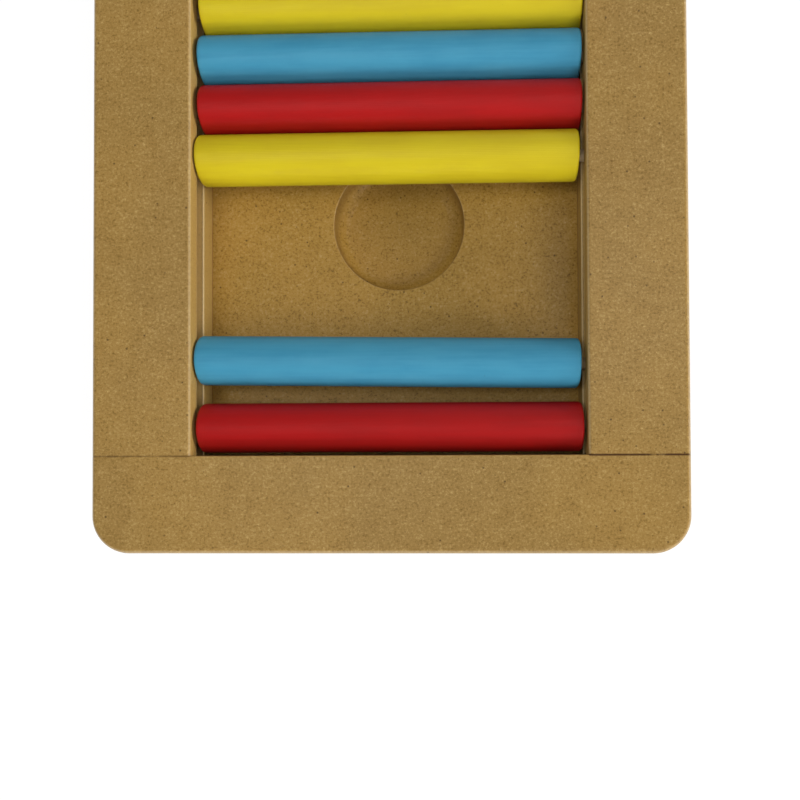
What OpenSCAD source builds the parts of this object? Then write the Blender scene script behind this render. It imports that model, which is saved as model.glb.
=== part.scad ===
// Roller board: a puzzle feeder for dogs.
// A fibreboard panel carries a frame of four rails. Twelve painted wooden rollers lie across the
// field inside the frame. Each turns on a steel axle, whose ends run in a groove along the side
// rails, so that a dog can roll and push the rollers along and bare the two round wells below.
// Millimetres. X runs across the board, Y along it from the front end rail to the rear one, and
// Z up. The origin is the middle of the board's outline, on the surface that the feet stand on.

/* [Board] */
// Width of the board, over both side rails
board_w = 190; // [150:1:240]
// Length of the board, over both end rails
board_l = 317; // [300:1:400]
// Radius of the four corners, seen from above
corner_r = 12; // [6:0.5:20]
// Roundover along the outer top edge
top_edge_r = 1.8; // [0.6:0.1:3]
// Roundover along the outer bottom edge
under_edge_r = 1.5; // [0.6:0.1:3]

/* [Rails] */
// Width of each side rail
side_rail_w = 32; // [24:0.5:40]
// Width of each end rail
end_rail_w = 31; // [24:0.5:40]
// Height of the rails above the panel
rail_h = 20; // [19:0.5:28]
// Roundover along the side rails' inner top edge
inner_edge_r = 1; // [0.4:0.1:2]
// Bevel that eases both edges of each butt joint, and the end rails' inner edge
joint_bevel = 0.2; // [0.1:0.05:0.6]

/* [Panel] */
// Thickness of the panel
panel_t = 12; // [10:0.5:18]
// Diameter of each treat well at its rim
well_d = 45; // [30:0.5:60]
// Depth of each treat well
well_depth = 7; // [5.5:0.5:8]
// Radius of the cove between a well's wall and its bottom
well_cove_r = 5; // [1:0.5:5.4]
// Roundover of a well's rim
well_rim_r = 0.4; // [0.2:0.1:0.6]
// Distance between the two wells' centres
well_spacing = 97; // [70:1:130]
// How far the wells lie off the board's centre line
well_shift = 1.8; // [-4:0.1:4]

/* [Rollers] */
// Diameter of a roller, over its paint
roller_d = 16.2; // [12:0.1:18]
// Roundover of a roller's ends
roller_end_r = 1; // [0.4:0.1:2]
// Play between a roller and the side rail, at each end
side_play = 1; // [0.8:0.1:3]
// Clearance under a roller, above the panel
roller_clear = 2.5; // [1:0.1:4]
// Gap between rollers that lie packed together
roller_gap = 0.25; // [0.2:0.05:1]
// Gap between the first roller and the front end rail
front_gap = 0.9; // [0.8:0.1:3]
// Gap between the first and the second roller
second_gap = 5.3; // [5:0.1:12]
// Gap between the last roller and the rear end rail
rear_gap = 1; // [0.9:0.1:3]

/* [Axles and grooves] */
// Diameter of an axle
axle_d = 4; // [3:0.5:5]
// Radial running clearance of an axle in its roller
bore_clear = 0.08; // [0.03:0.01:0.1]
// How far an axle reaches into the side rail beyond the field's wall
axle_reach = 5.5; // [4:0.5:9]
// Bevel on an axle's ends
axle_bevel = 0.4; // [0.1:0.1:0.8]
// Clearance under an axle, above the groove's floor
axle_lift = 0.1; // [0.05:0.05:0.4]
// Clearance over an axle, below the groove's roof
axle_headroom = 1.7; // [0.4:0.1:3]
// Clearance beyond an axle's end when its roller touches the side rail
groove_end_gap = 0.5; // [0.3:0.1:2]
// Bevel that eases the groove's two edges
lip_bevel = 0.35; // [0.1:0.05:0.6]

/* [Screws] */
// Diameter of a wood screw's shank
screw_d = 3.5; // [3:0.5:4.5]
// Diameter of a screw's countersunk head
screw_head_d = 7; // [6:0.5:9]
// Length of a screw
screw_l = 25; // [18:1:28]
// Radial gap around a screw in its hole
screw_gap = 0.05; // [0.02:0.01:0.1]
// How far a screw's head sits below the panel's underside
screw_sink = 0.3; // [0.1:0.1:1]
// Distance of the outer screws of a side rail from the rail's ends
side_screw_inset = 27; // [15:1:50]
// Distance of the outer screws of an end rail from the board's sides
end_screw_inset = 45; // [36:1:60]

/* [Feet] */
// Diameter of a rubber foot
foot_d = 12; // [8:0.5:16]
// Height of a rubber foot
foot_h = 2.2; // [1.5:0.1:4]
// Roundover of a foot's lower edge
foot_edge_r = 0.8; // [0.3:0.1:1.2]
// Distance of a foot's centre from the board's sides and ends
foot_inset = 16; // [12:0.5:24]

/* [Hidden] */
$fn = 96;

// Colours of the finishes
fibreboard = "#a2824a";
panel_board = "#9a7b47";
red_paint = "#b01e1e";
blue_paint = "#4896b4";
yellow_paint = "#d2bf2d";
steel = "#8f8c86";
zinc = "#b9b6a8";
rubber = "#2b2b2b";

// How far a cutter reaches past the face that it cuts
past = 1;

// The field inside the frame
field_w = board_w - 2 * side_rail_w;
field_l = board_l - 2 * end_rail_w;

// Heights of the faces, from the surface that the feet stand on
panel_z = foot_h;
field_z = panel_z + panel_t;
top_z = field_z + rail_h;
axle_z = field_z + roller_clear + roller_d / 2;

// The groove in a side rail, fitted to the axle that runs in it
groove_z = axle_z - axle_d / 2 - axle_lift;
groove_h = axle_lift + axle_d + axle_headroom;
groove_depth = axle_reach + side_play + groove_end_gap;

// Rollers and axles
roller_count = 12;
roller_l = field_w - 2 * side_play;
axle_l = field_w + 2 * axle_reach;
roller_pitch = roller_d + roller_gap;

// Share of the side play that each roller has drifted, to the right where positive
drift = [0.1, -0.6, -0.7, 0.25, 0.15, 0.65, 0.1, -0.3, 0.4, 0, 0.5, -0.2];
// Degrees that each roller lies askew, its left end to the rear where negative
askew = [0, -0.8, 0, 0, 0, 0, 0, 0, 0, 0, 0, 0];

// Place of a roller's axis along the board: two lie by the front end rail, and the others are
// packed against the rear one
function roller_y(n) =
    n == 1 ? -field_l / 2 + front_gap + roller_d / 2 :
    n == 2 ? roller_y(1) + roller_d + second_gap :
    field_l / 2 - rear_gap - roller_d / 2 - (roller_count - n) * roller_pitch;

// Screws: a 90 degree countersunk head on a plain shank with a short point
screw_head_h = (screw_head_d - screw_d) / 2;
screw_point_h = screw_d;
screw_z = panel_z + screw_sink;
drive_l = screw_head_d * 0.55;
drive_w = screw_head_d * 0.13;
drive_h = screw_head_h * 0.8;
side_screw_x = board_w / 2 - side_rail_w / 2;
side_screw_y = field_l / 2 - side_screw_inset;
end_screw_x = board_w / 2 - end_screw_inset;
end_screw_y = board_l / 2 - end_rail_w / 2;

// ---- Shared profiles ------------------------------------------------------------------------

// What a roundover of radius r takes off an outer edge that points to +X and +Y
module roundover_profile(r) {
    difference() {
        translate([-r, -r]) square(r + past);
        translate([-r, -r]) circle(r);
    }
}

// What a bevel of size b takes off an outer edge that points to +X and +Y
module bevel_profile(b) {
    polygon([[-b, past], [-b, 0], [0, -b], [past, -b], [past, past]]);
}

// Stretches a profile along +Y, over a length l, with the profile's own +Y turned up
module along_y(l) {
    translate([0, l / 2, 0]) rotate([90, 0, 0]) linear_extrude(l) children();
}

// Stretches a profile along X, over a length l, its +X turned to +Y and its +Y turned up
module along_x(l) {
    rotate([0, 0, 90]) along_y(l) children();
}

// Outline of the whole board, with its rounded corners
module board_outline() {
    square([board_w - 2 * corner_r, board_l], center = true);
    square([board_w, board_l - 2 * corner_r], center = true);
    for (sx = [-1, 1], sy = [-1, 1])
        translate([sx * (board_w / 2 - corner_r), sy * (board_l / 2 - corner_r)])
            circle(corner_r);
}

// Rounds the outer top edge of the whole board, all the way round
module outer_edge_cutter(r) {
    for (sx = [0, 1]) mirror([sx, 0, 0])
        translate([board_w / 2, 0, 0])
            along_y(board_l - 2 * corner_r) roundover_profile(r);
    for (sy = [0, 1]) mirror([0, sy, 0])
        translate([0, board_l / 2, 0])
            along_x(board_w - 2 * corner_r) roundover_profile(r);
    for (sx = [0, 1], sy = [0, 1]) mirror([sx, 0, 0]) mirror([0, sy, 0])
        translate([board_w / 2 - corner_r, board_l / 2 - corner_r, 0])
            rotate_extrude(angle = 90)
                translate([corner_r, 0]) roundover_profile(r);
}

// ---- Screws ---------------------------------------------------------------------------------

// Places of the screws that hold the side rails
module at_side_screws() {
    for (sx = [-1, 1], y = [-side_screw_y, 0, side_screw_y])
        translate([sx * side_screw_x, y, screw_z]) children();
}

// Places of the screws that hold the end rails
module at_end_screws() {
    for (sy = [-1, 1], x = [-end_screw_x, 0, end_screw_x])
        translate([x, sy * end_screw_y, screw_z]) children();
}

// Body of a screw, head down, grown by g all round for its hole
module screw_body(g) {
    translate([0, 0, -g])
        cylinder(d1 = screw_head_d + 2 * g, d2 = screw_d + 2 * g, h = screw_head_h + g);
    cylinder(d = screw_d + 2 * g, h = screw_l - screw_point_h);
    translate([0, 0, screw_l - screw_point_h])
        cylinder(d1 = screw_d + 2 * g, d2 = 1 + 2 * g, h = screw_point_h + g);
}

// One screw, with the cross recess for its driver
module wood_screw() {
    difference() {
        screw_body(0);
        for (turn = [0, 90]) rotate(turn)
            translate([-drive_l / 2, -drive_w / 2, -past]) cube([drive_l, drive_w, past + drive_h]);
    }
}

// Hole for one screw, open at the panel's underside
module screw_hole() {
    screw_body(screw_gap);
    translate([0, 0, -screw_sink - past])
        cylinder(d = screw_head_d + 2 * screw_gap, h = screw_sink + past);
}

module side_rail_screws() {
    color(zinc) at_side_screws() wood_screw();
}

module end_rail_screws() {
    color(zinc) at_end_screws() wood_screw();
}

// ---- Panel ----------------------------------------------------------------------------------

// Hollow of one well, from its rim down: a coved bottom and an eased rim
module well_hollow() {
    well_r = well_d / 2;
    rotate_extrude() {
        translate([0, -well_depth]) square([well_r - well_cove_r, well_depth + past]);
        translate([0, well_cove_r - well_depth]) square([well_r, well_depth - well_cove_r + past]);
        translate([well_r - well_cove_r, well_cove_r - well_depth]) circle(well_cove_r);
    }
    rotate_extrude()
        difference() {
            translate([well_r - past, -well_rim_r]) square([past + well_rim_r, well_rim_r + past]);
            translate([well_r + well_rim_r, -well_rim_r]) circle(well_rim_r);
        }
}

module base_panel() {
    color(panel_board)
        difference() {
            translate([0, 0, panel_z]) linear_extrude(panel_t) board_outline();
            translate([0, 0, panel_z]) mirror([0, 0, 1]) outer_edge_cutter(under_edge_r);
            for (sy = [-1, 1])
                translate([well_shift, sy * well_spacing / 2, field_z]) well_hollow();
            at_side_screws() screw_hole();
            at_end_screws() screw_hole();
        }
}

// ---- Rails ----------------------------------------------------------------------------------

// Groove for the axles in the right side rail's inner wall, with eased edges
module axle_groove() {
    translate([field_w / 2, 0, groove_z]) {
        translate([-past, -field_l / 2 - past, 0])
            cube([groove_depth + past, field_l + 2 * past, groove_h]);
        mirror([1, 0, 0]) along_y(field_l + 2 * past) bevel_profile(lip_bevel);
        translate([0, 0, groove_h]) mirror([0, 0, 1])
            mirror([1, 0, 0]) along_y(field_l + 2 * past) bevel_profile(lip_bevel);
    }
}

// The side rail on the right: a straight length with a groove, butted between the end rails
module side_rail() {
    difference() {
        translate([field_w / 2, -field_l / 2, field_z]) cube([side_rail_w, field_l, rail_h]);
        translate([board_w / 2, 0, top_z]) along_y(field_l + 2 * past) roundover_profile(top_edge_r);
        translate([field_w / 2, 0, top_z]) mirror([1, 0, 0])
            along_y(field_l + 2 * past) roundover_profile(inner_edge_r);
        for (sy = [0, 1]) mirror([0, sy, 0])
            translate([field_w / 2 + side_rail_w / 2, field_l / 2, top_z])
                along_x(side_rail_w + 2 * past) bevel_profile(joint_bevel);
        axle_groove();
        at_side_screws() screw_hole();
    }
}

module left_side_rail() {
    color(fibreboard) mirror([1, 0, 0]) side_rail();
}

module right_side_rail() {
    color(fibreboard) side_rail();
}

// The rear end rail: it runs the full width, and carries two of the board's rounded corners
module end_rail() {
    difference() {
        translate([0, 0, field_z]) linear_extrude(rail_h)
            intersection() {
                board_outline();
                translate([-board_w, field_l / 2]) square([2 * board_w, board_l]);
            }
        translate([0, 0, top_z]) outer_edge_cutter(top_edge_r);
        translate([0, field_l / 2, top_z]) mirror([0, 1, 0])
            along_x(board_w + 2 * past) bevel_profile(joint_bevel);
        at_end_screws() screw_hole();
    }
}

module front_end_rail() {
    color(fibreboard) mirror([0, 1, 0]) end_rail();
}

module rear_end_rail() {
    color(fibreboard) end_rail();
}

// ---- Rollers and axles ----------------------------------------------------------------------

// Lays a piece that is made along Z across the board, where roller n is
module across(n) {
    translate([drift[n - 1] * side_play, roller_y(n), axle_z])
        rotate([0, 0, askew[n - 1]]) rotate([0, 90, 0]) children();
}

// A length of dowel with rounded ends, bored from end to end
module roller(n, paint) {
    color(paint) across(n)
        difference() {
            cylinder(d = roller_d, h = roller_l, center = true);
            for (end = [0, 1]) mirror([0, 0, end])
                translate([0, 0, roller_l / 2]) rotate_extrude()
                    translate([roller_d / 2, 0]) roundover_profile(roller_end_r);
            cylinder(d = axle_d + 2 * bore_clear, h = roller_l + 2 * past, center = true);
        }
}

// A length of drawn rod with bevelled ends
module axle(n) {
    color(steel) across(n) {
        cylinder(d = axle_d, h = axle_l - 2 * axle_bevel, center = true);
        for (end = [0, 1]) mirror([0, 0, end])
            translate([0, 0, axle_l / 2 - axle_bevel])
                cylinder(d1 = axle_d, d2 = axle_d - 2 * axle_bevel, h = axle_bevel);
    }
}

// ---- Feet -----------------------------------------------------------------------------------

// A round rubber pad, stuck under the panel near a corner
module foot(sx, sy) {
    color(rubber)
        translate([sx * (board_w / 2 - foot_inset), sy * (board_l / 2 - foot_inset), 0])
            difference() {
                cylinder(d = foot_d, h = foot_h);
                mirror([0, 0, 1]) rotate_extrude()
                    translate([foot_d / 2, 0]) roundover_profile(foot_edge_r);
            }
}

// ---- Nodes ----------------------------------------------------------------------------------

base_panel();
left_side_rail();
right_side_rail();
front_end_rail();
rear_end_rail();
roller(1, red_paint);  // roller_01_red
roller(2, blue_paint);  // roller_02_blue
roller(3, yellow_paint);  // roller_03_yellow
roller(4, red_paint);  // roller_04_red
roller(5, blue_paint);  // roller_05_blue
roller(6, yellow_paint);  // roller_06_yellow
roller(7, red_paint);  // roller_07_red
roller(8, blue_paint);  // roller_08_blue
roller(9, yellow_paint);  // roller_09_yellow
roller(10, red_paint);  // roller_10_red
roller(11, blue_paint);  // roller_11_blue
roller(12, yellow_paint);  // roller_12_yellow
axle(1);  // axle_01
axle(2);  // axle_02
axle(3);  // axle_03
axle(4);  // axle_04
axle(5);  // axle_05
axle(6);  // axle_06
axle(7);  // axle_07
axle(8);  // axle_08
axle(9);  // axle_09
axle(10);  // axle_10
axle(11);  // axle_11
axle(12);  // axle_12
side_rail_screws();
end_rail_screws();
foot(-1, -1);  // front_left_foot
foot(1, -1);  // front_right_foot
foot(-1, 1);  // rear_left_foot
foot(1, 1);  // rear_right_foot
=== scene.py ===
import math

import bmesh
import bpy
from mathutils import Matrix, Vector


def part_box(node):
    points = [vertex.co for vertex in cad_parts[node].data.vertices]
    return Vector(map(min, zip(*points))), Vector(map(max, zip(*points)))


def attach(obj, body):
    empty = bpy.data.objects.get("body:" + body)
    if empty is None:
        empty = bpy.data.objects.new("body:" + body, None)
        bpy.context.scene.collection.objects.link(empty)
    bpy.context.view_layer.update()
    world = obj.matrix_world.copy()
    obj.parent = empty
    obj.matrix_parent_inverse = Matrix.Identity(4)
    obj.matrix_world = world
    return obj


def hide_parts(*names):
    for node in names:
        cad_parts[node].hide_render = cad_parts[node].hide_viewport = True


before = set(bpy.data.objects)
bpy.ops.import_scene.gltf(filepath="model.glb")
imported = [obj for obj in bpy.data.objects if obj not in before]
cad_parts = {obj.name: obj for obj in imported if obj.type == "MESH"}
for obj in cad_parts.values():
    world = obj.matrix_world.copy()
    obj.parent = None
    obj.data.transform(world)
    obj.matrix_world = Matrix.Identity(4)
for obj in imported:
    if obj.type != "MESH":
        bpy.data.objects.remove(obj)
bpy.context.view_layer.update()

# ---- Base panel -----------------------------------------------------------------------------
# The board's floor is one sheet of fibreboard, sawn to the outline of the whole board. A router
# with a rounded bit cuts the two round wells in its top, its lower edge is eased by hand, and
# twelve countersunk holes come through from beneath. All of it has a thin coat of clear lacquer.

mm = 0.001
panel_low, panel_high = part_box("base_panel")
corner_radius = 12 * mm
under_edge = 1.5 * mm
sheet_seam = 0.12 * mm
well_radius = 22.5 * mm
well_depth = 7 * mm
well_cove = 5 * mm
well_rim = 0.4 * mm
joint_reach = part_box("right_side_rail")[1].y
field_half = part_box("right_side_rail")[0].x
groove_floor_z = 22.7 * mm
groove_roof_z = 28.5 * mm
groove_depth = 7 * mm
groove_middle = (groove_floor_z + groove_roof_z) / 2
groove_half = (groove_roof_z - groove_floor_z) / 2
well_centres = [(1.8 * mm, -48.5 * mm), (1.8 * mm, 48.5 * mm)]
screw_head_radius = 3.5 * mm
screw_radius = 1.75 * mm
screw_length = 25 * mm
screw_point = 3.5 * mm
screw_tip_radius = 0.5 * mm
screw_gap = 0.05 * mm
side_screws_low, side_screws_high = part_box("side_rail_screws")
end_screws_low, end_screws_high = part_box("end_rail_screws")
screw_foot = side_screws_low.z


def screw_places(low, high, rows, columns):
    """Centres of a group of screws that fills the box from low to high."""
    first = low + Vector((screw_head_radius, screw_head_radius, 0))
    last = high - Vector((screw_head_radius, screw_head_radius, 0))
    return [
        (
            first.x + (last.x - first.x) * column / (columns - 1),
            first.y + (last.y - first.y) * row / (rows - 1),
        )
        for row in range(rows)
        for column in range(columns)
    ]


side_screw_places = screw_places(side_screws_low, side_screws_high, 3, 2)
end_screw_places = screw_places(end_screws_low, end_screws_high, 2, 3)


def near(first, second):
    return abs(first - second) < 0.01 * mm


def select_only(piece):
    bpy.ops.object.select_all(action="DESELECT")
    piece.select_set(True)
    bpy.context.view_layer.objects.active = piece


def settle(piece, name):
    """Names a new object and puts its place and size into its mesh."""
    piece.name = name
    piece.data.name = name
    select_only(piece)
    bpy.ops.object.transform_apply(location=True, rotation=True, scale=True)
    return piece


def add_block(name, low, high):
    bpy.ops.object.select_all(action="DESELECT")
    bpy.ops.mesh.primitive_cube_add(size=1, location=(low + high) / 2)
    bpy.context.object.scale = high - low
    return settle(bpy.context.object, name)


def add_rod(name, centre, radius, length, sides, along_x=False):
    """A round bar that stands on end, or that lies along X."""
    turn = (0, math.radians(90), 0) if along_x else (0, 0, 0)
    bpy.ops.object.select_all(action="DESELECT")
    bpy.ops.mesh.primitive_cylinder_add(
        vertices=sides, radius=radius, depth=length, location=centre, rotation=turn
    )
    return settle(bpy.context.object, name)


def choose_edges(piece, wanted):
    """Goes into edit mode with only the edges selected whose two ends please wanted."""
    select_only(piece)
    bpy.ops.object.mode_set(mode="EDIT")
    bpy.ops.mesh.select_mode(type="EDGE")
    bpy.ops.mesh.select_all(action="DESELECT")
    edit = bmesh.from_edit_mesh(piece.data)
    for edge in edit.edges:
        edge.select_set(wanted(edge.verts[0].co, edge.verts[1].co))
    bmesh.update_edit_mesh(piece.data)


def choose_faces(piece, wanted):
    """Goes into edit mode with only the faces selected whose middle and normal please wanted."""
    select_only(piece)
    bpy.ops.object.mode_set(mode="EDIT")
    bpy.ops.mesh.select_mode(type="FACE")
    bpy.ops.mesh.select_all(action="DESELECT")
    edit = bmesh.from_edit_mesh(piece.data)
    for face in edit.faces:
        face.select_set(wanted(face.calc_center_median(), face.normal))
    bmesh.update_edit_mesh(piece.data)


def leave_edit():
    bpy.ops.object.mode_set(mode="OBJECT")


def round_edges(piece, wanted, size, steps):
    choose_edges(piece, wanted)
    bpy.ops.mesh.bevel(offset=size, segments=steps, affect="EDGES", clamp_overlap=False)
    leave_edit()


def bore(piece, cutter):
    """Cuts the cutter's shape out of the piece, and throws the cutter away."""
    select_only(piece)
    cut = piece.modifiers.new("bore", "BOOLEAN")
    cut.operation = "DIFFERENCE"
    cut.solver = "EXACT"
    cut.object = cutter
    bpy.ops.object.modifier_apply(modifier=cut.name)
    bpy.data.objects.remove(cutter)


def smooth(piece, angle=40):
    """Smooth curves, and flat faces that stay flat right up to their rounded edges."""
    select_only(piece)
    bpy.ops.object.shade_smooth_by_angle(angle=math.radians(angle))
    even = piece.modifiers.new("even", "WEIGHTED_NORMAL")
    even.keep_sharp = True
    bpy.ops.object.modifier_apply(modifier=even.name)


def screw_shape(name, x, y, extra):
    """A countersunk head on a pointed shank, standing on its head, grown by extra all round."""
    head = screw_head_radius + extra
    shank = screw_radius + extra
    countersink = screw_head_radius - screw_radius
    screw = add_rod(name, (x, y, screw_foot - 0.5 * extra), head, extra, 48)
    choose_faces(screw, lambda middle, normal: normal.z > 0.9)
    bpy.ops.mesh.extrude_region_move(TRANSFORM_OT_translate={"value": (0, 0, countersink)})
    bpy.ops.transform.resize(
        value=(shank / head, shank / head, 1), center_override=(x, y, screw_foot)
    )
    bpy.ops.mesh.extrude_region_move(
        TRANSFORM_OT_translate={"value": (0, 0, screw_length - countersink - screw_point)}
    )
    bpy.ops.mesh.extrude_region_move(
        TRANSFORM_OT_translate={"value": (0, 0, screw_point + extra)}
    )
    tip = screw_tip_radius + extra
    bpy.ops.transform.resize(
        value=(tip / shank, tip / shank, 1), center_override=(x, y, screw_foot)
    )
    leave_edit()
    return screw


def drill_for_screws(piece, node, places):
    """Cuts a hole in the piece for each screw that goes up into it."""
    low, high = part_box(node)
    for x, y in places:
        if low.x < x < high.x and low.y < y < high.y:
            bore(piece, screw_shape("drill", x, y, screw_gap))


panel = add_block("panel_sheet", panel_low, panel_high)
round_edges(panel, lambda a, b: near(a.x, b.x) and near(a.y, b.y), corner_radius, 16)
round_edges(panel, lambda a, b: near(a.z, b.z) and near(a.z, panel_low.z), under_edge, 5)
round_edges(panel, lambda a, b: near(a.z, b.z) and near(a.z, panel_high.z), sheet_seam, 1)

for x, y in well_centres:
    router = add_rod("router", (x, y, panel_high.z), well_radius, 2 * well_depth, 128)
    round_edges(
        router, lambda a, b: a.z < panel_high.z and near(a.z, b.z), well_cove, 12
    )
    bore(panel, router)
    middle = Vector((x, y))
    round_edges(
        panel,
        lambda a, b: near(a.z, panel_high.z)
        and near(b.z, panel_high.z)
        and near((a.xy - middle).length, well_radius)
        and near((b.xy - middle).length, well_radius),
        well_rim,
        4,
    )

drill_for_screws(panel, "base_panel", side_screw_places + end_screw_places)
sink_radius = screw_head_radius + screw_gap
sink_length = 2 * (screw_foot - panel_low.z)
for x, y in side_screw_places + end_screw_places:
    bore(panel, add_rod("sink", (x, y, panel_low.z), sink_radius, sink_length, 48))
smooth(panel)


class Level:
    """One socket of a finish. Sums that are written with it add Math nodes to the finish."""

    def __init__(self, finish, socket):
        self.finish = finish
        self.socket = socket

    def sum(self, operation, first, second):
        return self.finish.node(
            "ShaderNodeMath", {"operation": operation}, {0: first, 1: second}
        )

    def __add__(self, other):
        return self.sum("ADD", self, other)

    def __radd__(self, other):
        return self.sum("ADD", other, self)

    def __sub__(self, other):
        return self.sum("SUBTRACT", self, other)

    def __rsub__(self, other):
        return self.sum("SUBTRACT", other, self)

    def __mul__(self, other):
        return self.sum("MULTIPLY", self, other)

    def __rmul__(self, other):
        return self.sum("MULTIPLY", other, self)


class Finish:
    """The nodes of a material, or of the world round it, and the place on the piece in metres."""

    def __init__(self, name, world=None):
        self.material = world or bpy.data.materials.new(name)
        self.material.use_nodes = True
        self.tree = self.material.node_tree
        self.shader = self.tree.nodes.get("Principled BSDF")
        self.place = self.node("ShaderNodeTexCoord", {}, {}, "Object")

    def node(self, kind, settings, values, output=0):
        """Adds a node: first its settings, then the values or links of its sockets."""
        made = self.tree.nodes.new(kind)
        for key, setting in settings.items():
            setattr(made, key, setting)
        for key, value in values.items():
            self.feed(made.inputs[key], value)
        return Level(self, made.outputs[output])

    def feed(self, socket, value):
        if isinstance(value, Level):
            self.tree.links.new(value.socket, socket)
        else:
            socket.default_value = value

    def set(self, **values):
        """Feeds the shader: base_color=... goes to its Base Color."""
        for key, value in values.items():
            label = key.replace("_", " ").title().replace("Ior", "IOR")
            self.feed(self.shader.inputs[label], value)

    def stretched(self, factors):
        """The place, multiplied by three factors, so that a pattern on it is drawn out."""
        return self.node(
            "ShaderNodeVectorMath", {"operation": "MULTIPLY"}, {0: self.place, 1: factors}
        )

    def noise(self, place, size, detail=2.0, roughness=0.5, warp=0.0):
        """Clouds of values about 0.5, with lumps about size wide."""
        return self.node(
            "ShaderNodeTexNoise",
            {},
            {
                "Vector": place,
                "Scale": 1 / size,
                "Detail": detail,
                "Roughness": roughness,
                "Distortion": warp,
            },
        )

    def specks(self, place, spacing, size, share):
        """1 on sparse dots: one in each cell of that spacing, kept in a share of the cells."""
        cell = self.node(
            "ShaderNodeTexVoronoi", {}, {"Vector": place, "Scale": 1 / spacing}, "Distance"
        )
        lot = self.node(
            "ShaderNodeTexVoronoi", {}, {"Vector": place, "Scale": 1 / spacing}, "Color"
        )
        kept = self.node("ShaderNodeSeparateColor", {}, {"Color": lot}, "Red")
        reach = size / spacing
        dot = self.step(cell, reach, 0.4 * reach)
        return dot * self.step(kept, share, 0.96 * share)

    def step(self, value, start, end):
        """0 at start and 1 at end, clamped, with a smooth run between them."""
        return self.node(
            "ShaderNodeMapRange",
            {"interpolation_type": "SMOOTHSTEP"},
            {"Value": value, "From Min": start, "From Max": end},
        )

    def mix(self, share, first, second):
        """The first colour where share is 0 and the second where it is 1."""
        return self.node(
            "ShaderNodeMix", {"data_type": "RGBA"}, {0: share, 6: first, 7: second}, 2
        )

    def part(self, vector, axis):
        """The X, Y or Z of a vector."""
        return self.node("ShaderNodeSeparateXYZ", {}, {"Vector": vector}, axis)

    def size_of(self, value):
        """The value without its sign."""
        return self.node("ShaderNodeMath", {"operation": "ABSOLUTE"}, {0: value})

    def relief(self, height, depth):
        """A normal for a surface whose height from 0 to 1 stands for depth metres."""
        return self.node("ShaderNodeBump", {}, {"Height": height, "Distance": depth})


def colour(red, green, blue):
    """A colour from 0 to 255, as a screen shows it, in the shader's own units."""
    parts = [part / 255 for part in (red, green, blue)]
    return tuple(
        part / 12.92 if part <= 0.04045 else ((part + 0.055) / 1.055) ** 2.4 for part in parts
    ) + (1,)


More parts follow.
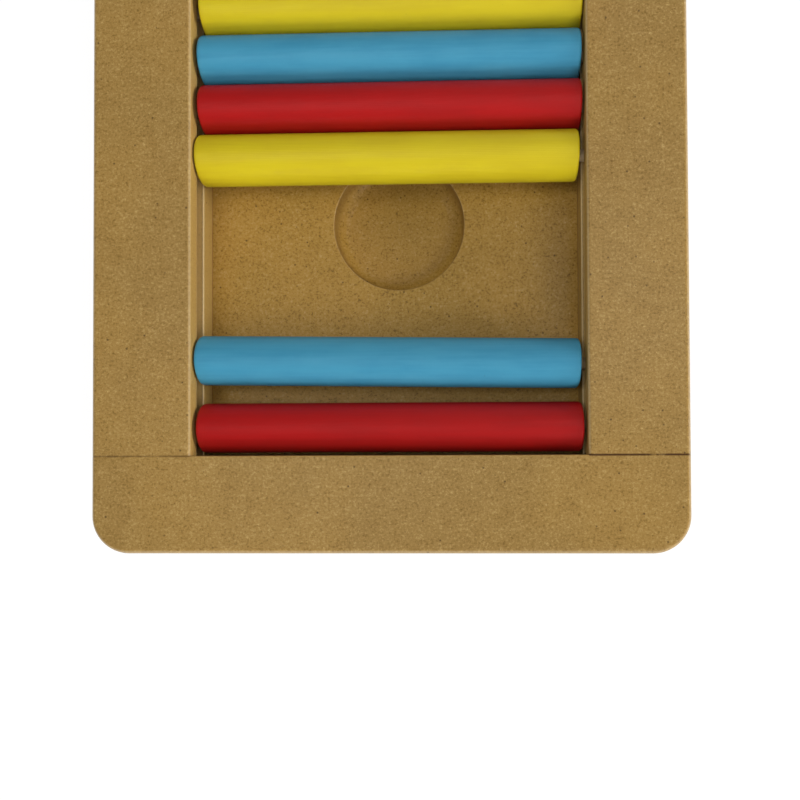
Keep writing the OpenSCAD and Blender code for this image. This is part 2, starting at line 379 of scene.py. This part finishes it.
def fibreboard(name, warm, cool, cut, glued=False):
    """Lacquered fibreboard: a felt of fine fibres, cloudy in tone, darker where it is cut.

    Its rounded edges get a pale painted highlight. A glued piece has brown glue in its butt
    joints and along its foot, painted light in its groove, and a painted highlight along the
    groove's edges.
    """
    finish = Finish(name)
    place = finish.place
    clouds = finish.noise(place, 45 * mm, 3)
    mottle = finish.noise(place, 4 * mm, 2)
    felt = finish.noise(place, 0.9 * mm, 3, 0.85, 0.2)
    fibres = finish.noise(finish.stretched((1, 2.2, 1)), 2.2 * mm, 3, 0.6, 0.8)
    bark = finish.specks(place, 4.5 * mm, 0.46 * mm, 0.85)
    dust = finish.specks(place, 1.8 * mm, 0.27 * mm, 0.55)
    chips = finish.specks(finish.stretched((1.3, 0.8, 1)), 9 * mm, 0.45 * mm, 0.2)
    layers = finish.noise(finish.stretched((1, 0.25, 9)), 3 * mm, 4, 0.65)
    facing = finish.node("ShaderNodeTexCoord", {}, {}, "Normal")
    rise = finish.part(facing, "Z")
    sawn = finish.step(rise * rise, 0.5, 0.1)
    height = finish.part(place, "Z")
    # Painted highlight: rounded edges that face partly up, above the panel's top, are painted
    # pale grey for the light they catch.
    edge_highlight = (
        finish.step(rise, 0.2, 0.45)
        * finish.step(rise, 0.95, 0.85)
        * finish.step(height, panel_high.z - 0.6 * mm, panel_high.z - 0.4 * mm)
    )

    ground = finish.mix(finish.step(clouds, 0.35, 0.65), warm, cool)
    grain = (felt - 0.5) * 1.6 + (fibres - 0.5) * 0.4 + (mottle - 0.5) * 0.3
    pale = finish.mix(finish.step(grain, 0.0, 0.5), ground, colour(194, 164, 104))
    dark = finish.mix(finish.step(grain, 0.0, -0.4), pale, colour(112, 82, 32))
    sides = finish.mix(sawn * (0.35 + 0.5 * layers), dark, cut)
    # The painted highlight goes onto the rounded edges here.
    face = finish.mix(edge_highlight * 0.22, sides, colour(196, 182, 152))
    barked = finish.mix(bark * 0.75, face, colour(70, 44, 22))
    dusted = finish.mix(dust * 0.5, barked, colour(84, 58, 30))
    chipped = finish.mix(chips * 0.35, dusted, colour(214, 190, 140))
    if glued:
        across = finish.part(place, "X")
        outward = finish.size_of(across)
        endward = finish.size_of(finish.part(place, "Y"))
        between_joints = finish.step(endward, joint_reach, joint_reach - 0.1 * mm)
        off_joint = finish.size_of(endward - joint_reach)
        blots = finish.noise(place, 5 * mm, 3, 0.6)
        corner = finish.step(across, 50 * mm, 66 * mm)
        soaked = (
            finish.step(off_joint, 0.5 * mm, 0.15 * mm)
            * finish.step(outward, field_half, field_half + 0.2 * mm)
            * finish.step(blots + 0.14 * corner, 0.42, 0.6)
        )
        off_middle = finish.size_of(height - groove_middle)
        groove_back = field_half + groove_depth
        # Painted light: the inside of the groove is painted paler, to lift the shade it lies in.
        groove_light = (
            finish.step(outward, field_half + 0.2 * mm, field_half + 1.0 * mm)
            * finish.step(outward, groove_back + 0.6 * mm, groove_back + 0.2 * mm)
            * finish.step(off_middle, groove_half + 0.4 * mm, groove_half + 0.1 * mm)
            * between_joints
        )
        # Painted highlight: a pale line along both edges of the groove, where the lips catch the
        # light.
        lip_highlight = (
            finish.step(finish.size_of(off_middle - groove_half), 0.5 * mm, 0.25 * mm)
            * finish.step(outward, field_half + 0.6 * mm, field_half + 0.4 * mm)
            * between_joints
        )
        foot = finish.step(height, panel_high.z + 1.3 * mm, panel_high.z + 0.6 * mm)
        # The painted light in the groove goes on here.
        chipped = finish.mix(groove_light * 0.7, chipped, colour(196, 164, 104))
        chipped = finish.mix(soaked * (0.4 + 0.5 * corner), chipped, colour(66, 34, 12))
        chipped = finish.mix(foot * 0.7, chipped, colour(118, 72, 28))
        # The painted highlight on the groove's lips goes on here.
        chipped = finish.mix(lip_highlight * 0.5, chipped, colour(222, 198, 150))

    finish.set(
        base_color=chipped,
        roughness=0.5 + 0.12 * felt + 0.12 * sawn,
        specular_ior_level=0.35,
        coat_weight=0.4 - 0.1 * sawn,
        coat_roughness=0.25,
        normal=finish.relief(felt * 0.6 + fibres * 0.4 + sawn * layers, 0.05 * mm),
    )
    return finish.material


def dress(piece, finish, slot, body, *nodes):
    """Gives a piece its finish, fixes it to its body and hides the parts of the model that it
    stands for.
    """
    piece.data.materials.clear()
    piece.data.materials.append(finish)
    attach(piece, body)
    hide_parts(*nodes)


panel_finish = fibreboard(
    "panel_fibreboard", colour(175, 135, 61), colour(168, 131, 59), colour(140, 106, 54)
)
dress(panel, panel_finish, "panel_board", "board", "base_panel")

# ---- Side rails -----------------------------------------------------------------------------
# Two straight lengths of thicker fibreboard, glued on the panel between the end rails. A slot
# cutter has run a groove along each inner wall for the axles, and both top edges are rounded
# with a router: wide outside, where it follows the whole board, and narrow towards the field.

rail_low, rail_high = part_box("right_side_rail")
outer_round = 1.8 * mm
inner_round = 1.0 * mm
joint_ease = 0.13 * mm
glue_line = 0.25 * mm
groove_ease = 0.35 * mm
past = 2 * mm

right_rail = add_block("rail_right", rail_low, rail_high)
slot_cutter = add_block(
    "slot_cutter",
    Vector((rail_low.x - past, rail_low.y - past, groove_floor_z)),
    Vector((rail_low.x + groove_depth, rail_high.y + past, groove_roof_z)),
)
bore(right_rail, slot_cutter)


def runs_along_y(a, b, x, z):
    return all(near(end.x, x) and near(end.z, z) for end in (a, b))


round_edges(right_rail, lambda a, b: runs_along_y(a, b, rail_high.x, rail_high.z), outer_round, 7)
round_edges(right_rail, lambda a, b: runs_along_y(a, b, rail_low.x, rail_high.z), inner_round, 6)
round_edges(right_rail, lambda a, b: runs_along_y(a, b, rail_low.x, rail_low.z), glue_line, 2)
round_edges(right_rail, lambda a, b: runs_along_y(a, b, rail_high.x, rail_low.z), sheet_seam, 1)
for lip_z in (groove_floor_z, groove_roof_z):
    round_edges(
        right_rail, lambda a, b: runs_along_y(a, b, rail_low.x, lip_z), groove_ease, 3
    )


def on_joint(a, b, y):
    """An edge of a butt joint, along the top and down over the rounded outer edge."""
    return near(a.y, y) and near(b.y, y) and min(a.z, b.z) > rail_high.z - outer_round - 0.1 * mm


for joint_y in (rail_low.y, rail_high.y):
    round_edges(right_rail, lambda a, b: on_joint(a, b, joint_y), joint_ease, 2)


def turned_copy(piece, name):
    """A copy with its own mesh, turned half round about the middle of the board."""
    select_only(piece)
    bpy.ops.object.duplicate()
    bpy.context.object.rotation_euler.z = math.pi
    return settle(bpy.context.object, name)


left_rail = turned_copy(right_rail, "rail_left")
# The rails' cut colour is paler than their top: painted light on their cut faces, which lifts the
# shade on the inner walls and in the groove.
rail_finish = fibreboard(
    "rail_fibreboard", colour(157, 124, 65), colour(150, 119, 64), colour(164, 133, 74), True
)
for rail, node in ((right_rail, "right_side_rail"), (left_rail, "left_side_rail")):
    drill_for_screws(rail, node, side_screw_places)
    smooth(rail)
    dress(rail, rail_finish, "rail_board", "board", node)

# ---- End rails ------------------------------------------------------------------------------
# The two end rails are sawn from the same fibreboard. They run the board's full width, carry its
# rounded corners and close the ends of the grooves. The rounded outer edge runs on from the
# side rails. The butt joints are glued, and show as a fine dark line.

end_low, end_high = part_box("rear_end_rail")


def on_outline(a, b, z):
    """An edge round the end rail's outline at one height, apart from the one at the field."""
    at_field = near(a.y, end_low.y) and near(b.y, end_low.y)
    return near(a.z, b.z) and near(a.z, z) and not at_field


rear_rail = add_block("rail_rear", end_low, end_high)
round_edges(
    rear_rail,
    lambda a, b: near(a.x, b.x) and near(a.y, b.y) and near(a.y, end_high.y),
    corner_radius,
    16,
)
round_edges(rear_rail, lambda a, b: on_outline(a, b, end_high.z), outer_round, 7)
round_edges(rear_rail, lambda a, b: on_outline(a, b, end_low.z), sheet_seam, 1)
round_edges(rear_rail, lambda a, b: on_joint(a, b, end_low.y), joint_ease, 2)
front_rail = turned_copy(rear_rail, "rail_front")
for rail, node in ((rear_rail, "rear_end_rail"), (front_rail, "front_end_rail")):
    drill_for_screws(rail, node, end_screw_places)
    smooth(rail)
    dress(rail, rail_finish, "rail_board", "board", node)

# ---- Axles ----------------------------------------------------------------------------------
# Each roller turns on a length of drawn steel rod, cropped and bevelled at its ends, which run
# in the grooves of the two side rails.

roller_names = sorted(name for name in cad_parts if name.startswith("roller_"))
axle_radius = 2 * mm
axle_length = 137 * mm
axle_bevel = 0.4 * mm
askew_rollers = {2: math.radians(-0.8)}

steel = Finish("drawn_steel")
drawing = steel.noise(steel.stretched((0.02, 1, 1)), 0.25 * mm, 3, 0.6)
tarnish = steel.noise(steel.place, 6 * mm, 4, 0.6)
steel.set(
    base_color=steel.mix(
        steel.step(tarnish, 0.4, 0.65), colour(188, 166, 132), colour(152, 130, 98)
    ),
    metallic=0.4,
    roughness=0.4 + 0.25 * drawing,
    normal=steel.relief(drawing, 0.01 * mm),
)

axle_model = add_rod("axle_model", (0, 0, 0), axle_radius, axle_length, 48, along_x=True)
round_edges(axle_model, lambda a, b: near(a.x, b.x), axle_bevel, 2)


def laid_across(model, name, number, node):
    """A copy of a model that was made along X, laid where its node lies across the board."""
    low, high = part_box(node)
    select_only(model)
    bpy.ops.object.duplicate()
    bpy.context.object.location = (low + high) / 2
    bpy.context.object.rotation_euler.z = askew_rollers.get(number, 0)
    return settle(bpy.context.object, name)


for number in range(1, len(roller_names) + 1):
    node = f"axle_{number:02d}"
    axle = laid_across(axle_model, f"rod_{number:02d}", number, node)
    smooth(axle)
    dress(axle, steel.material, "axle_steel", node, node)
bpy.data.objects.remove(axle_model)

# ---- Rollers --------------------------------------------------------------------------------
# Twelve lengths of hardwood dowel, with their ends rounded over and bored through from end to
# end. Each is dipped in red, blue or yellow paint, through which the dowel's grain shows as fine
# ripples along it. The bore is bare wood.

roller_radius = 8.1 * mm
roller_length = 124 * mm
roller_round = 1.0 * mm
bore_radius = 2.08 * mm
bore_ease = 0.25 * mm


def roller_paint(name, full, thin):
    """Satin paint on a dowel: ripples of grain along it, and a slightly uneven coat."""
    finish = Finish(name)
    grain = finish.noise(finish.stretched((0.035, 1, 1)), 0.9 * mm, 3, 0.6)
    ripple = finish.noise(finish.stretched((0.09, 1, 1)), 3 * mm, 2, 0.5)
    coat = finish.noise(finish.stretched((0.4, 1, 1)), 7 * mm, 3, 0.55)
    peel = finish.noise(finish.place, 0.8 * mm, 2, 0.5)
    pits = finish.specks(finish.place, 6 * mm, 0.22 * mm, 0.25)
    cover = finish.step(0.5 * coat + 0.3 * grain + 0.2 * ripple, 0.34, 0.6)
    finish.set(
        base_color=finish.mix(pits * 0.4, finish.mix(cover, thin, full), colour(60, 50, 40)),
        roughness=0.4 + 0.14 * peel,
        specular_ior_level=0.3,
        coat_weight=0.05 + 0.17 * coat,
        coat_roughness=0.14,
        normal=finish.relief(0.45 * grain + 0.4 * ripple + 0.15 * peel, 0.04 * mm),
    )
    return finish.material


paints = {
    "red": roller_paint("red_paint", colour(170, 20, 20), colour(161, 21, 21)),
    "blue": roller_paint("blue_paint", colour(69, 147, 177), colour(60, 138, 170)),
    "yellow": roller_paint("yellow_paint", colour(203, 183, 29), colour(197, 175, 29)),
}

bare = Finish("bare_dowel")
bare_grain = bare.noise(bare.stretched((0.05, 1, 1)), 0.5 * mm, 4, 0.6)
bare.set(
    base_color=bare.mix(bare_grain, colour(214, 184, 138), colour(176, 140, 92)),
    roughness=0.7 + 0.1 * bare_grain,
    normal=bare.relief(bare_grain, 0.05 * mm),
)

roller_model = add_rod("roller_model", (0, 0, 0), roller_radius, roller_length, 96, along_x=True)
choose_faces(roller_model, lambda middle, normal: abs(normal.x) > 0.9)
bpy.ops.mesh.inset(thickness=roller_radius - bore_radius)
bpy.ops.mesh.delete(type="ONLY_FACE")
leave_edit()


def on_ring(end, radius):
    return near(abs(end.x), roller_length / 2) and abs(end.yz.length - radius) < 0.1 * mm


choose_edges(roller_model, lambda a, b: on_ring(a, bore_radius) and on_ring(b, bore_radius))
bpy.ops.mesh.bridge_edge_loops()
leave_edit()
for ring, size, steps in ((roller_radius, roller_round, 6), (bore_radius, bore_ease, 2)):
    round_edges(
        roller_model, lambda a, b: on_ring(a, ring) and on_ring(b, ring), size, steps
    )

for number, node in enumerate(roller_names, start=1):
    roller = laid_across(roller_model, f"dowel_{number:02d}", number, node)
    smooth(roller)
    paint = node.split("_")[-1]
    dress(roller, paints[paint], f"paint_{paint}", f"roller_{number:02d}", node)
    roller.data.materials.append(bare.material)
    low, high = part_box(node)
    centre = (low + high) / 2
    for face in roller.data.polygons:
        if (face.center - centre).yz.length < bore_radius + 0.1 * mm:
            face.material_index = 1
bpy.data.objects.remove(roller_model)

# ---- Screws ---------------------------------------------------------------------------------
# Twelve zinc-plated countersunk wood screws, driven from beneath with a cross-head driver, hold
# the rails to the panel: six in the side rails and six in the end rails.

cross_width = 0.9 * mm
cross_length = 3.9 * mm
cross_depth = 1.4 * mm
zinc_coat = 0.02 * mm

zinc = Finish("zinc_plate")
bloom = zinc.noise(zinc.place, 1.5 * mm, 4, 0.6)
zinc.set(
    base_color=zinc.mix(bloom, colour(206, 204, 196), colour(176, 172, 150)),
    metallic=1.0,
    roughness=0.28 + 0.2 * bloom,
    normal=zinc.relief(bloom, 0.01 * mm),
)


def join(pieces, name):
    bpy.ops.object.select_all(action="DESELECT")
    for piece in pieces:
        piece.select_set(True)
    bpy.context.view_layer.objects.active = pieces[0]
    bpy.ops.object.join()
    return settle(bpy.context.object, name)


def driven_screws(name, places):
    screws = []
    for x, y in places:
        screw = screw_shape("screw", x, y, zinc_coat)
        head = Vector((x, y, screw_foot))
        for width, length in ((cross_width, cross_length), (cross_length, cross_width)):
            reach = Vector((width / 2, length / 2, cross_depth))
            bore(screw, add_block("bit", head - reach, head + reach))
        screws.append(screw)
    return join(screws, name)


for name, places, node in (
    ("screws_side", side_screw_places, "side_rail_screws"),
    ("screws_end", end_screw_places, "end_rail_screws"),
):
    screws = driven_screws(name, places)
    smooth(screws, 30)
    dress(screws, zinc.material, "screw_zinc", "board", node)

# ---- Feet -----------------------------------------------------------------------------------
# Four round pads of black rubber, stuck on under the corners so that the board stays put.

foot_round = 0.8 * mm

rubber = Finish("foot_rubber")
skin = rubber.noise(rubber.place, 0.35 * mm, 3, 0.6)
scuff = rubber.noise(rubber.place, 4 * mm, 3, 0.6)
rubber.set(
    base_color=rubber.mix(rubber.step(scuff, 0.4, 0.75), colour(38, 38, 38), colour(66, 64, 60)),
    roughness=0.7 + 0.15 * skin,
    normal=rubber.relief(skin, 0.04 * mm),
)

for node in ("front_left_foot", "front_right_foot", "rear_left_foot", "rear_right_foot"):
    low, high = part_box(node)
    centre = (low + high) / 2
    foot = add_rod(node.replace("foot", "pad"), centre, (high.x - low.x) / 2, high.z - low.z, 64)
    round_edges(
        foot, lambda a, b: near(a.z, b.z) and near(a.z, low.z), foot_round, 6
    )
    smooth(foot)
    dress(foot, rubber.material, "foot_rubber", "board", node)

# ---- Studio ---------------------------------------------------------------------------------
# A white floor, windows and soft sky light that come mostly from the front and the right, and
# the camera at the place from which the photograph was taken. What the object mirrors is white
# near the floor and dim overhead.

bpy.ops.object.select_all(action="DESELECT")
bpy.ops.mesh.primitive_plane_add(size=6, location=(0, 0, 0))
floor = settle(bpy.context.object, "floor")
bpy.ops.object.mode_set(mode="EDIT")
bpy.ops.mesh.subdivide(number_cuts=4)
leave_edit()

shadow_tone = (0.14, 0.14, 0.14, 1)
bare_tone = (0.75, 0.75, 0.75, 1)
near_glow = 0.9
near_floor = 0.35
far_floor = 0.9


def ray_kinds(finish):
    """Three masks: 1 on rays from the camera, on mirrored rays and on rays through glass."""
    return [
        finish.node("ShaderNodeLightPath", {}, {}, kind)
        for kind in ("Is Camera Ray", "Is Glossy Ray", "Is Transmission Ray")
    ]


floor_finish = Finish("floor_white")
seen, mirrored, through = ray_kinds(floor_finish)
away = floor_finish.node(
    "ShaderNodeVectorMath", {"operation": "LENGTH"}, {0: floor_finish.place}, "Value"
)
matt = floor_finish.node("ShaderNodeBsdfDiffuse", {}, {"Color": bare_tone})
faint = floor_finish.node("ShaderNodeBsdfDiffuse", {}, {"Color": shadow_tone})
glow = floor_finish.node("ShaderNodeEmission", {}, {"Strength": near_glow})
shaded = floor_finish.node("ShaderNodeAddShader", {}, {0: faint, 1: glow})
white = floor_finish.node("ShaderNodeEmission", {}, {"Strength": 1.0})
fade = floor_finish.step(away, near_floor, far_floor)
shown = floor_finish.node("ShaderNodeMixShader", {}, {0: fade, 1: shaded, 2: white})
either = floor_finish.node(
    "ShaderNodeMixShader", {}, {0: seen + mirrored + through, 1: matt, 2: shown}
)
clear = floor_finish.node("ShaderNodeBsdfTransparent", {}, {})
behind = floor_finish.node("ShaderNodeNewGeometry", {}, {}, "Backfacing")
whole = floor_finish.node("ShaderNodeMixShader", {}, {0: behind, 1: either, 2: clear})
floor_finish.feed(floor_finish.tree.nodes["Material Output"].inputs["Surface"], whole)
floor.data.materials.append(floor_finish.material)

ambient = 0.045
ceiling = 0.06
wall_foot = 0.02
wall_top = 0.2

studio = bpy.data.worlds.new("studio")
bpy.context.scene.world = studio
room = Finish("studio", studio)
seen, mirrored, through = ray_kinds(room)
heading = room.node("ShaderNodeTexCoord", {}, {}, "Generated")
rise = room.part(heading, "Z")
wall = 1 - room.step(rise, wall_foot, wall_top) * (1 - ceiling)
strength = ambient + (seen + through) * (1 - ambient) + mirrored * (wall - ambient)
backdrop = room.tree.nodes["Background"]
room.feed(backdrop.inputs["Color"], (1, 1, 1, 1))
room.feed(backdrop.inputs["Strength"], strength)


def add_lamp(name, place, size, power, glossy):
    """A square soft box that faces the board."""
    bpy.ops.object.select_all(action="DESELECT")
    bpy.ops.object.light_add(type="AREA", location=place)
    lamp = bpy.context.object
    lamp.name = name
    lamp.data.shape = "SQUARE"
    lamp.data.size = size
    lamp.data.energy = power
    lamp.rotation_euler = (-Vector(place)).to_track_quat("-Z", "Y").to_euler()
    lamp.visible_glossy = glossy


add_lamp("right_window", (2.35, 0, 0.5), 1.0, 60, False)
add_lamp("front_window", (-0.3, -2.3, 0.62), 1.0, 35, False)
add_lamp("rear_window", (0.3, 2.3, 0.62), 1.0, 8, False)
add_lamp("left_fill", (-0.77, 0, 0.21), 0.35, 1.3, False)
add_lamp("front_sky", (0.85, -1.0, 1.2), 0.8, 10, False)
add_lamp("rear_sky", (0.05, 0.55, 0.8), 0.45, 1.0, False)
add_lamp("overhead", (-0.25, -0.1, 1.08), 0.5, 2.9, False)
add_lamp("skylight", (0.31, 0.09, 0.95), 0.35, 0.45, True)

focal_pixels = 689.51
picture_pixels = 800
principal_x = 450
principal_y = 425
camera_pitch = -0.01586
camera_yaw = -0.02855
camera_roll = 0.00453
camera_data = bpy.data.cameras.new("camera")
camera = bpy.data.objects.new("camera", camera_data)
bpy.context.scene.collection.objects.link(camera)
camera_data.sensor_width = 36
camera_data.lens = focal_pixels / picture_pixels * camera_data.sensor_width
camera_data.shift_x = (picture_pixels / 2 - principal_x) / picture_pixels
camera_data.shift_y = (principal_y - picture_pixels / 2) / picture_pixels
camera_turn = (
    Matrix.Rotation(camera_pitch, 3, "X")
    @ Matrix.Rotation(camera_yaw, 3, "Y")
    @ Matrix.Rotation(camera_roll, 3, "Z")
)
camera.rotation_mode = "QUATERNION"
camera.rotation_quaternion = camera_turn.transposed().to_quaternion()
camera.location = (25.84 * mm, -121.46 * mm, 250.63 * mm)
bpy.context.scene.camera = camera
bpy.context.scene.view_settings.view_transform = "Standard"
